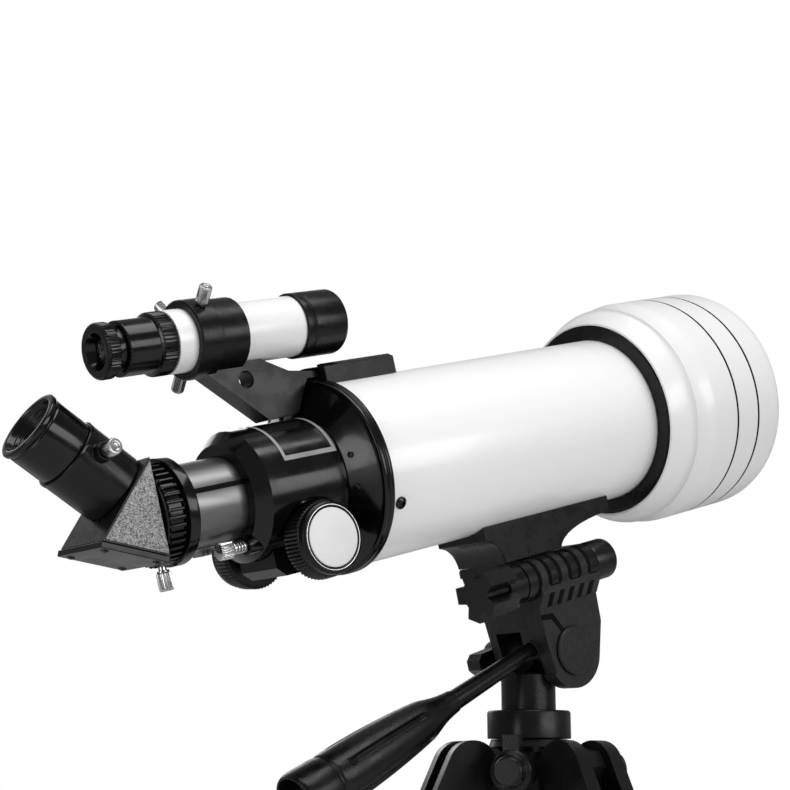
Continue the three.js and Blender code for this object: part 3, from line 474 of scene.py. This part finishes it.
def rear_cell():
    """Black cone with a grooved rim, and four small screws standing nearly square to the cone."""
    profile = [(-12, 20.3), (-12, 25.3), (-11.4, 26.2), (-5.6, 35.9), (-5.2, 36.9), (-5.2, 38.0),
               (-4.6, 38.5), (-3.2, 38.5), (-2.9, 38.1), (-2.5, 38.1), (-2.2, 38.5), (-0.9, 38.5),
               (-0.3, 38.0), (-0.3, 34.7), (14, 34.7), (14, 32.8), (-3.6, 32.8), (-9.6, 24), (-9.6, 20.3)]
    cell = lathe("rear_cell_casting", profile, TUBE, GLOSS, "telescope", segments=192, soft=0.35,
                 slot="black_gloss")
    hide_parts("rear_cell")
    cone_x, cone_radius = -10.3, 28.2
    lean = math.radians(37.515)
    for k, angle in enumerate((12, -13, 128, 248)):
        turn = Matrix.Rotation(math.radians(angle) - math.pi, 4, "X")
        place = on_tube(cone_x) @ turn @ Matrix.Translation((0, cone_radius * MM, 0))
        place = place @ Matrix.Rotation(math.pi - lean, 4, "Z")
        screw_head(f"cell_screw_{k + 1}", place, 1.3, 0.7, GLOSS, "telescope")


def curved_patch(bm, radius, back, front, low, high, steps):
    """A strip round the tube's axis, from back to front in x and from low to high in degrees."""
    rows = []
    for i in range(steps + 1):
        angle = math.radians(low + (high - low) * i / steps)
        y = -radius * math.cos(angle)
        z = radius * math.sin(angle)
        rows.append([bm.verts.new((x, y, z)) for x in (back, front)])
    for below, above in zip(rows, rows[1:]):
        bm.faces.new((below[0], below[1], above[1], above[0]))


def label_frame():
    """A plain printed frame on the housing, on the side towards the knob."""
    bm = bmesh.new()
    radius = HOUSING_RADIUS + 0.12
    line = 1.4
    thick = 1.4 * math.degrees(line / radius)
    low, high, back, front = 21, 104, -37.8, -13.2
    curved_patch(bm, radius, back, back + line, low, high, 30)
    curved_patch(bm, radius, front - line, front, low, high, 30)
    curved_patch(bm, radius, back + line, front - line, low, low + thick, 2)
    curved_patch(bm, radius, back + line, front - line, high - thick, high, 2)
    finish_mesh("label_frame", bm, TUBE, LABEL, "telescope", slot="chrome")


def focus_knobs():
    """Knurled knobs with a pale disc let into each face."""
    for side, node in ((-1, "focus_knob_right"), (1, "focus_knob_left")):
        turn = Matrix.Rotation(QUARTER_TURN * side, 4, "Z")
        place = on_tube(*PINION_PLACE) @ turn
        profile = [(12.5, 2.3), (12.5, 6.5), (17.5, 7.5), (19.4, 13.6), (20.3, 14.9), (27.4, 14.3),
                   (28.0, 13.7), (29.6, 13.6), (30.4, 13.4), (31.0, 12.6), (31.0, 11.4), (30.1, 11.3),
                   (30.1, 2.3)]
        knob = lathe(f"{node}_knurled", profile, place, SATIN, "focus", segments=360, soft=0.25,
                     ripple=knurl(60, 0.5, 14), slot="black_satin")
        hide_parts(node)
        rim = [(30.7, 11.9), (31.1, 11.9), (31.1, 12.2), (30.7, 12.2)]
        lathe(f"{node}_rim", rim, place, CHROME, "focus", segments=96, soft=0.1, slot="chrome")
        cap = [(30.1, 0), (30.1, 11.0), (31.0, 11.0), (31.2, 10.6), (31.3, 6.0), (31.35, 0)]
        lathe(f"{node}_disc", cap, place, CAP_WHITE, "focus", segments=96, soft=0.1, slot="white_gloss")


def drawtube_ring():
    """Ring with narrow raised ribs and a plain flange towards the tube."""
    rib_count, rib_depth, ribs_front, ribs_bottom = 40, 1.3, -80.5, 18
    rib_starts, rib_flank = 0.62, 0.14

    def ribs(along, radius, angle):
        if radius < ribs_bottom or along > ribs_front:
            return 0.0
        wave = 0.5 + 0.5 * math.cos(rib_count * angle)
        on_rib = min(1.0, max(0.0, (wave - rib_starts) / rib_flank))
        return -rib_depth * (1 - on_rib)
    profile = [(-88.2, 12.5), (-88.2, 17.6), (-87.9, 17.9), (-87.3, 18.2), (-86.8, 19.0), (-85, 19.0),
               (-82, 19.0), (-81.2, 19.0), (-80.7, 18.2), (-80.3, 17.6), (-80, 19.9), (-75.8, 19.9),
               (-75.8, 16.5), (-80.3, 16.5), (-80.3, 12.5)]
    ring = lathe("drawtube_ring_ribbed", profile, TUBE, GLOSS, "drawtube", segments=480, soft=0.2,
                 ripple=ribs, slot="black_satin")
    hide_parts("drawtube_ring")


def drawtube_slot_shade():
    """Painted shade: a dark strip for the shaded key slot along the near side of the drawtube."""
    bm = bmesh.new()
    curved_patch(bm, DRAWTUBE_RADIUS + 0.06, -75.6, 10, 14, 21, 2)
    finish_mesh("drawtube_slot_shade", bm, TUBE, BLACKENED_AND_SHADE, "drawtube", slot="black_satin")


def prism_outline(inset):
    """Corners of the housing's side in tube x and z, drawn in by inset."""
    corner = APEX + Vector((-inset, -inset * (1 + math.sqrt(2))))
    side = FACE_LENGTH - inset * (2 + 2 * math.sin(HALF_CORNER)) / SLANT
    return [corner, corner + Vector((-side * SLANT, -side * SLANT)), corner + Vector((0, -side))]


def prism_details():
    """Speckled side plates inside black edges, and the cover's four screws."""
    thickness = 0.7
    plate = rounded_corners(prism_outline(0.6), 0.8)
    sides = (("near", -PRISM_HALF - thickness, -PRISM_HALF), ("far", PRISM_HALF, PRISM_HALF + thickness))
    for side, low, high in sides:
        slab(f"prism_plate_{side}", plate, low, high, TUBE, SPECKLE, "diagonal", bevel=0.2,
             slot="speckled_grey")
    middle = APEX + Vector((-FACE_LENGTH * SLANT / 2, -FACE_LENGTH * (1 + SLANT) / 2))
    face = on_tube(middle.x, 0, middle.y) @ Matrix.Rotation(HALF_CORNER, 4, "Y")
    half = FACE_LENGTH * math.sin(HALF_CORNER)
    margin = 3
    cover_thickness = 2.6
    for i, along in enumerate((-half + margin, half - margin - 0.5)):
        for j, across in enumerate((margin - PRISM_HALF, PRISM_HALF - margin)):
            place = face @ Matrix.Translation(Vector((along, across, -cover_thickness)) * MM)
            place = place @ Matrix.Rotation(QUARTER_TURN, 4, "Y")
            screw_head(f"cover_screw_{2 * i + j + 1}", place, 1.5, 0.7, GLOSS, "diagonal")


def rounded_corners(points, radius):
    """Rounds an outline that lies partly below y = 0, lifted clear of it while rounded() works."""
    lift = 1000
    lifted = [(p.x, p.y + lift) for p in points]
    return [(x, y - lift) for x, y in rounded(lifted, radius)]


def slanted():
    """Frame of the eyepiece: local x along the slanted light path."""
    return on_tube(DIAGONAL_X) @ Matrix.Rotation(math.radians(-135), 4, "Y")


def eyepiece():
    """Eyepiece barrel with its stepped mouth and eye lens, and the rim of its holder."""
    start = HOLDER_END
    end = HOLDER_END + EYEPIECE_LENGTH
    profile = [(start - 18, 10.6), (start - 18, 12.1), (start + 0.3, 12.1), (start + 0.3, 12.8),
               (end - 3.2, 12.8), (end - 2.9, 12.5), (end - 2.4, 12.5), (end - 2.1, 12.9),
               (end - 1.6, 13.35), (end - 0.4, 13.35), (end, 12.9), (end, 11.2), (end - 0.5, 10.8),
               (end - 1.2, 10.6), (end - 2.4, 10.2), (end - 2.6, 9.5), (end - 3.7, 9.2), (end - 3.9, 8.4),
               (end - 5, 8.1), (end - 5, 7.4), (start - 4, 7.4), (start - 4, 10.6)]
    barrel = lathe("eyepiece_barrel", profile, slanted(), GLOSS, "eyepiece", segments=128, soft=0.25,
                   slot="black_gloss")
    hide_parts("eyepiece")
    lens = [(end - 6.4, 0), (end - 6.4, 7.3), (end - 5.6, 7.3), (end - 5.0, 5.4), (end - 4.7, 3.0),
            (end - 4.6, 0)]
    lathe("eye_lens", lens, slanted(), EYE_GLASS, "eyepiece", segments=64, soft=0, slot="glass")
    stop = [(start - 3, 0), (start - 3, 7.2), (start - 2, 7.2), (start - 2, 0)]
    lathe("eye_tube_black", stop, slanted(), BLACKENED_AND_SHADE, "eyepiece", segments=48, soft=0.1, slot="black_satin")
    rim = [(start - 1.6, 13.2), (start - 1.6, 13.7), (start - 0.2, 13.7), (start - 0.2, 13.2)]
    lathe("holder_rim", rim, slanted(), GLOSS, "diagonal", segments=96, soft=0.1, slot="black_gloss")


def thumbscrew(node, start, length, radius, shank):
    """Knurled screw about its joint's axis; its head begins at start, and its body has the node's name."""
    neck = start + length * 0.12
    end = start + length
    profile = [(start - shank, 0), (start - shank, 1.5), (start, 1.5), (start, radius * 0.8),
               (neck, radius * 0.82), (neck + 0.3, radius), (end - 0.6, radius), (end, radius * 0.86),
               (end, radius * 0.5), (end - 0.5, radius * 0.4), (end - 0.5, 0)]
    made = lathe(f"{node}_knurled", profile, along_axis(f"{node}_turn"), CHROME, node, segments=144,
                 soft=0.15, ripple=knurl(24, 0.28, radius * 0.95), slot="chrome")
    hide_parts(node)


def ring_screw():
    """Bright screw under the drawtube's ring, pointing down."""
    down = on_tube(RING_SCREW_X) @ Matrix.Rotation(QUARTER_TURN, 4, "Y")
    profile = [(13.2, 0), (13.2, 1.5), (20.2, 1.5), (20.2, 2.2), (21.0, 2.3), (21.3, 2.7), (27.0, 2.7),
               (27.7, 2.3), (27.7, 1.4), (27.2, 1.1), (27.2, 0)]
    made = lathe("ring_screw_knurled", profile, down, CHROME, "ring_screw", segments=144, soft=0.15,
                 ripple=knurl(24, 0.28, 2.5), slot="chrome")
    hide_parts("ring_screw")


def focus_lock():
    """Bright screw along the housing, with a knurled head and four turns of bare thread."""
    profile = [(-66, 0), (-66, 2.8), (-65.4, 3.4), (-60.6, 3.4), (-60, 2.2)]
    thread_start, pitch, crest, root = -59.6, 1.3, 2.3, 1.7
    for turn in range(4):
        start = thread_start + pitch * turn
        profile += [(start, crest), (start + 0.65, crest), (start + 0.8, root), (start + 1.1, root)]
    profile += [(-54.4, 2.2), (-54.4, 1.5), (-41, 1.5), (-41, 0)]
    made = lathe("focus_lock_knurled", profile, on_tube(*FOCUS_LOCK_PLACE), CHROME, "focus_lock",
                 segments=144, soft=0.12, ripple=knurl(20, 0.4, 3), slot="chrome")
    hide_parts("focus_lock_screw")


def thumbscrews():
    thumbscrew("holder_screw", 16.9, 5.5, 3.1, 4)
    for letter in "abc":
        thumbscrew(f"finder_screw_{letter}", 15.6, 8, 2.5, 3)
    ring_screw()
    focus_lock()


# ---------- objective end ----------

def dew_shield():
    """Rounded shoulder, a low ridge, two thin black lines let in, and a rounded rim."""
    full = SHIELD_RADIUS
    front = SHIELD_FRONT
    groove = 0.7
    lines = (194.0, 209.2)
    outer = []
    shoulder_back, shoulder_length, shoulder_radius, shoulder_height, steps = 155.6, 11.6, 44.2, 5.3, 12
    for k in range(steps + 1):
        t = (k / steps) * QUARTER_TURN
        along = shoulder_back + shoulder_length * math.sin(t) ** 1.25
        outer.append((along, shoulder_radius + shoulder_height * (1 - math.cos(t)) ** 0.8))
    outer += [(170.5, full - 1.6), (174.5, full - 0.9), (177.5, full - 0.15), (179, full)]
    for line in lines:
        outer += [(line - groove, full), (line - groove + 0.1, full - 0.4), (line + groove - 0.1, full - 0.4),
                  (line + groove, full)]
    outer += [(front - 6, full), (front - 3.5, full - 0.2), (front - 1.7, full - 0.8),
              (front - 0.5, full - 1.7), (front, full - 2.6)]
    inner = [(front - 0.4, full - 3.2), (182, 47.8), (179, 43.3), (shoulder_back, 43.3)]
    shield = lathe("dew_shield_shell", outer + inner, TUBE, SHIELD_WHITE, "telescope", segments=224, soft=0,
                   slot="white_gloss", sharp=40)
    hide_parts("dew_shield")
    for number, line in enumerate(lines):
        back, ahead = line - 0.6, line + 0.6
        ring = [(back, full - 0.7), (back, full - 0.07), (ahead, full - 0.07), (ahead, full - 0.7)]
        lathe(f"shield_line_{number + 1}", ring, TUBE, BLACKENED_AND_SHADE, "telescope", segments=224, soft=0,
              slot="black_gloss")
    lining = [(182.3, 47.4), (front - 1, 47.6), (front - 1, 48.05), (182.3, 47.85)]
    lathe("shield_lining", lining, TUBE, BLACKENED_AND_SHADE, "telescope", segments=128, soft=0, slot="black_satin")


def objective():
    """Objective lens with a curved front, and the slotted ring that holds it."""
    back, front, radius, bulge = 164.5, 172.0, 35.9, 2.6
    profile = [(back, 0), (back, radius)]
    steps = 12
    for k in range(steps):
        r = radius * (1 - k / steps)
        profile.append((front - bulge * (r / radius) ** 2, r))
    profile.append((front, 0))
    lens = lathe("objective_glass", profile, TUBE, LENS, "telescope", segments=128, soft=0, slot="glass")
    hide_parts("objective_lens")

    def spanner_slots(along, radius, angle):
        in_slot = radius > 34 and along > 175 and math.cos(4 * angle) > 0.99
        return -0.5 if in_slot else 0.0

    ring = [(172.6, 33.6), (172.6, 35.8), (176.2, 35.8), (176.2, 34.6), (174.4, 33.6)]
    lathe("lens_ring", ring, TUBE, SATIN, "telescope", segments=128, soft=0.2, ripple=spanner_slots,
          slot="black_satin")


# ---------- finder ----------

def finder_axis():
    return on_tube(z=FINDER_HEIGHT)


def finder_tube():
    inner, outer, back, front = 10.8, 12, -63.7, -1
    skin = [(back, inner), (front, inner), (front, outer), (back, outer)]
    tube = lathe("finder_tube_skin", skin, finder_axis(), WHITE, "telescope", segments=96, soft=0.2,
                 slot="white_gloss")
    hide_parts("finder_tube")


def finder_objective():
    """Black cell with two fine grooves, and the front lens inside it."""
    profile = [(-5.2, 12.3), (-5.2, 12.6), (-4.8, 13), (-1.6, 13), (-1.3, 12.7), (-0.9, 12.7), (-0.6, 13),
               (14, 13), (14.8, 12.7), (15.3, 12.2), (15.3, 11.6), (13, 11.3), (1, 11.3), (1, 9.4),
               (-0.7, 9.4), (-0.7, 12.3)]
    cell = lathe("finder_cell_turned", profile, finder_axis(), SATIN, "telescope", segments=96, soft=0.25,
                 slot="black_satin")
    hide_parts("finder_objective_cell")
    lens = [(1.6, 0), (1.6, 11.2), (3.4, 11.2), (4.2, 8), (4.8, 4), (4.9, 0)]
    lathe("finder_front_glass", lens, finder_axis(), LENS, "telescope", segments=64, soft=0, slot="glass")


def finder_eyepiece():
    """Eyepiece with fluted rings at both ends, its lens and the stop behind it."""
    flutes, flute_depth, flutes_bottom = 48, 0.45, 10
    plain_back, plain_front = -83.6, -70.4

    def fluted_rings(along, radius, angle):
        if radius < flutes_bottom or plain_back < along < plain_front:
            return 0.0
        return -flute_depth * (0.5 - 0.5 * math.cos(flutes * angle))

    profile = [(-92.3, 7), (-92.3, 9.6), (-91.6, 10.4), (-87.6, 10.4), (-87, 8.2), (-84.3, 8.2),
               (-84, 10), (-83.5, 10.4), (-71, 10.4), (-70.4, 11.4), (-70, 12), (-64.2, 12), (-64, 10.5),
               (-58, 10.5), (-58, 8.4), (-80, 8.4), (-80, 5.2), (-88.5, 5.2)]
    body = lathe("finder_eyepiece_knurled", profile, finder_axis(), GLOSS, "finder_eyepiece", segments=288,
                 soft=0.25, ripple=fluted_rings, slot="black_satin")
    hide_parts("finder_eyepiece")
    lens = [(-88.4, 0), (-88.4, 5.1), (-86, 5.1), (-86, 0)]
    lathe("finder_eye_glass", lens, finder_axis(), EYE_GLASS, "finder_eyepiece", segments=48, soft=0.3,
          slot="glass")
    stop = [(-84, 0), (-84, 5.1), (-83.4, 5.1), (-83.4, 0)]
    lathe("finder_eye_stop", stop, finder_axis(), BLACKENED_AND_SHADE, "finder_eyepiece", segments=48, soft=0.1,
          slot="black_satin")


# ---------- head ----------

def handle_grip():
    """Club-shaped grip with long grooves, a ring line and a hollow end."""
    first, last = 76, 121
    groove_count, groove_depth, groove_turn, groove_edge, ends_over = 5, 1.5, 0.6, 0.74, 3

    def grooves(along, radius, angle):
        if radius < 8 or not first < along < last:
            return 0.0
        ends = min(1.0, (along - first) / ends_over, (last - along) / ends_over)
        wave = max(0.0, math.cos(groove_count * angle + groove_turn) - groove_edge) / (1 - groove_edge)
        return -groove_depth * ends * min(1.0, wave * 2.2)

    neck = [(58, 4.6), (61, 4.9), (64, 5.3), (67, 5.9), (70, 6.7), (73, 7.6)]
    club = []
    slim, swelling, steps = 8.3, 2.9, 24
    for k in range(steps + 1):
        t = k / steps
        club.append((first + (last - first) * t, slim + swelling * math.sin(t * QUARTER_TURN) ** 0.9))
    end = [(124.5, 11.1), (126, 10.9), (126.5, 10.3), (127.4, 10.3), (127.9, 11.0), (131, 11.25),
           (139, 11.6), (141.4, 11.4), (142.8, 10.8), (143, 10.2), (142.4, 9.8), (133, 9), (133, 0),
           (104.4, 0), (104.4, 4.6)]
    grip = lathe("handle_grip_moulded", neck + club + end, along_axis("handle_turn"), MOULDED, "handle",
                 segments=300, soft=0.3, ripple=grooves, slot="black_satin")
    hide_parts("handle_grip")


def cover_groove_shade():
    """Painted shade: a dark ring for the shaded groove round the tilt axle's cover."""
    axle = Matrix.Translation(Vector(joint("tilt_turn")["pos_m"])) @ Matrix.Rotation(-QUARTER_TURN, 4, "Z")
    inner, outer, back, front = 9.5, 10.3, 18.8, 19.12
    ring = [(back, inner), (back, outer), (front, outer), (front, inner)]
    lathe("cover_groove_shade", ring, axle, BLACKENED_AND_SHADE, "tilt", segments=96, soft=0, slot="grey_plastic")


def cheek_notch_shades():
    """Painted shade: a row of dark patches for the shaded notches on the cheek's slanted root, under the
    knuckles.
    """
    root = on_tube(*ROOT_PLACE) @ Matrix.Rotation(ROOT_SLOPE, 4, "X")
    for k in range(5):
        back = NOTCHES_BACK + NOTCH_PITCH * k
        front = back + NOTCH_WIDTH
        notch = [(back, -NOTCH_REACH), (front, -NOTCH_REACH), (front, NOTCH_REACH), (back, NOTCH_REACH)]
        slab(f"cheek_notch_shade_{k + 1}", notch, -0.15, 0.1, root, BLACKENED_AND_SHADE, "tilt", bevel=0, slot="grey_plastic")


def knuckle_gap_shades():
    """Painted shade: dark bands either side of each joint between knuckles, for the shaded gaps, each riding
    on the knuckle that it lies on.
    """
    low, high = KNUCKLE_RADII
    for k in range(1, 7):
        boundary = KNUCKLES_BACK + KNUCKLE_PITCH * k
        behind, ahead = ("telescope", "tilt") if k % 2 else ("tilt", "telescope")
        spans = ((behind, boundary - 1.1, boundary - 0.15), (ahead, boundary - 0.05, boundary + 0.9))
        for body, back, front in spans:
            line = [(back, low), (back, high), (front, high), (front, low)]
            lathe(f"knuckle_gap_shade_{k}_{body}", line, on_tube(*FLIP_PIN_PLACE), BLACKENED_AND_SHADE, body, segments=48,
                  soft=0, slot="black_satin")


def cheek_step_shade():
    """Painted shade: a dark cranked line where the cheek steps in above the handle and the step lies in
    shade.
    """
    step = [(76.9, -74.2), (83.6, -74.8), (88.0, -82.2), (86.4, -83.4), (82.4, -77.2), (76.9, -76.4)]
    slab("cheek_step_shade", step, *CHEEK_FACE, TUBE, BLACKENED_AND_SHADE, "tilt", bevel=0, slot="grey_plastic")


# ---------- room, light and camera ----------

FLOOR_HALF = 1.5
LIGHT_AIM = (0.0, 0.0, 0.35)
BACKDROP_STRENGTH = 1.0
AMBIENT_STRENGTH = 0.24
LENS_LENGTH = 72.9
SENSOR_WIDTH = 36
CAMERA_AZIMUTH = math.radians(-39.06)
CAMERA_RISE = math.radians(-13.0)
CAMERA_FROM_TUBE = Vector((-0.3707, -0.4964, -0.1101))


def floor():
    """Plain pale floor."""
    bm = bmesh.new()
    bmesh.ops.create_grid(bm, x_segments=8, y_segments=8, size=FLOOR_HALF)
    mesh = bpy.data.meshes.new("floor")
    bm.to_mesh(mesh)
    bm.free()
    plane = bpy.data.objects.new("floor", mesh)
    bpy.context.scene.collection.objects.link(plane)
    plane.data.materials.append(surface("pale_floor", grey(0.80), grey(0.83), (0.6, 0.75), 60.0, 0.05))


def area_light(name, place, size, power):
    """A soft rectangular light aimed at the object; metres and watts."""
    data = bpy.data.lights.new(name, "AREA")
    data.shape = "RECTANGLE"
    data.size, data.size_y = size
    data.energy = power
    light = bpy.data.objects.new(name, data)
    bpy.context.scene.collection.objects.link(light)
    light.location = place
    light.rotation_mode = "QUATERNION"
    light.rotation_quaternion = (Vector(LIGHT_AIM) - Vector(place)).to_track_quat("-Z", "Y")


def backdrop():
    """White surroundings, dimmer as light than they look behind the object."""
    world = bpy.data.worlds.new("studio")
    bpy.context.scene.world = world
    world.use_nodes = True
    tree = world.node_tree
    tree.nodes.clear()
    white = (1, 1, 1, 1)
    behind = add_node(tree, "ShaderNodeBackground", Color=white, Strength=BACKDROP_STRENGTH)
    ambient = add_node(tree, "ShaderNodeBackground", Color=white, Strength=AMBIENT_STRENGTH)
    seen = add_node(tree, "ShaderNodeLightPath").outputs["Is Camera Ray"]
    mix = add_node(tree, "ShaderNodeMixShader")
    out = add_node(tree, "ShaderNodeOutputWorld")
    tree.links.new(seen, mix.inputs[0])
    tree.links.new(ambient.outputs[0], mix.inputs[1])
    tree.links.new(behind.outputs[0], mix.inputs[2])
    tree.links.new(mix.outputs[0], out.inputs["Surface"])


def lights():
    area_light("top_softbox", (-0.15, -0.25, 1.25), (0.9, 0.6), 7.5)
    area_light("rear_softbox", (-1.25, -0.18, 0.32), (0.35, 0.55), 3.0)
    area_light("front_softbox", (0.35, -1.25, 0.60), (1.0, 0.5), 7.0)
    area_light("back_softbox", (0.3, 1.2, 0.8), (0.9, 0.6), 3)


def camera():
    """Low and behind the eyepiece side, looking up 13 degrees."""
    data = bpy.data.cameras.new("camera")
    data.sensor_width = SENSOR_WIDTH
    data.lens = LENS_LENGTH
    cam = bpy.data.objects.new("camera", data)
    bpy.context.scene.collection.objects.link(cam)
    level = math.cos(CAMERA_RISE)
    side, depth = math.sin(CAMERA_AZIMUTH) * level, math.cos(CAMERA_AZIMUTH) * level
    back = Vector((side, -depth, math.sin(CAMERA_RISE)))
    cam.location = tube_origin() + CAMERA_FROM_TUBE
    cam.rotation_mode = "QUATERNION"
    cam.rotation_quaternion = (-back).to_track_quat("-Z", "Y")
    bpy.context.scene.camera = cam
    bpy.context.scene.view_settings.view_transform = "Standard"


camera()
dress_all()
main_tube()
rear_cell()
label_frame()
focus_knobs()
drawtube_ring()
drawtube_slot_shade()
prism_details()
eyepiece()
thumbscrews()
dew_shield()
objective()
finder_tube()
finder_objective()
finder_eyepiece()
handle_grip()
cover_groove_shade()
cheek_notch_shades()
knuckle_gap_shades()
cheek_step_shade()
floor()
backdrop()
lights()
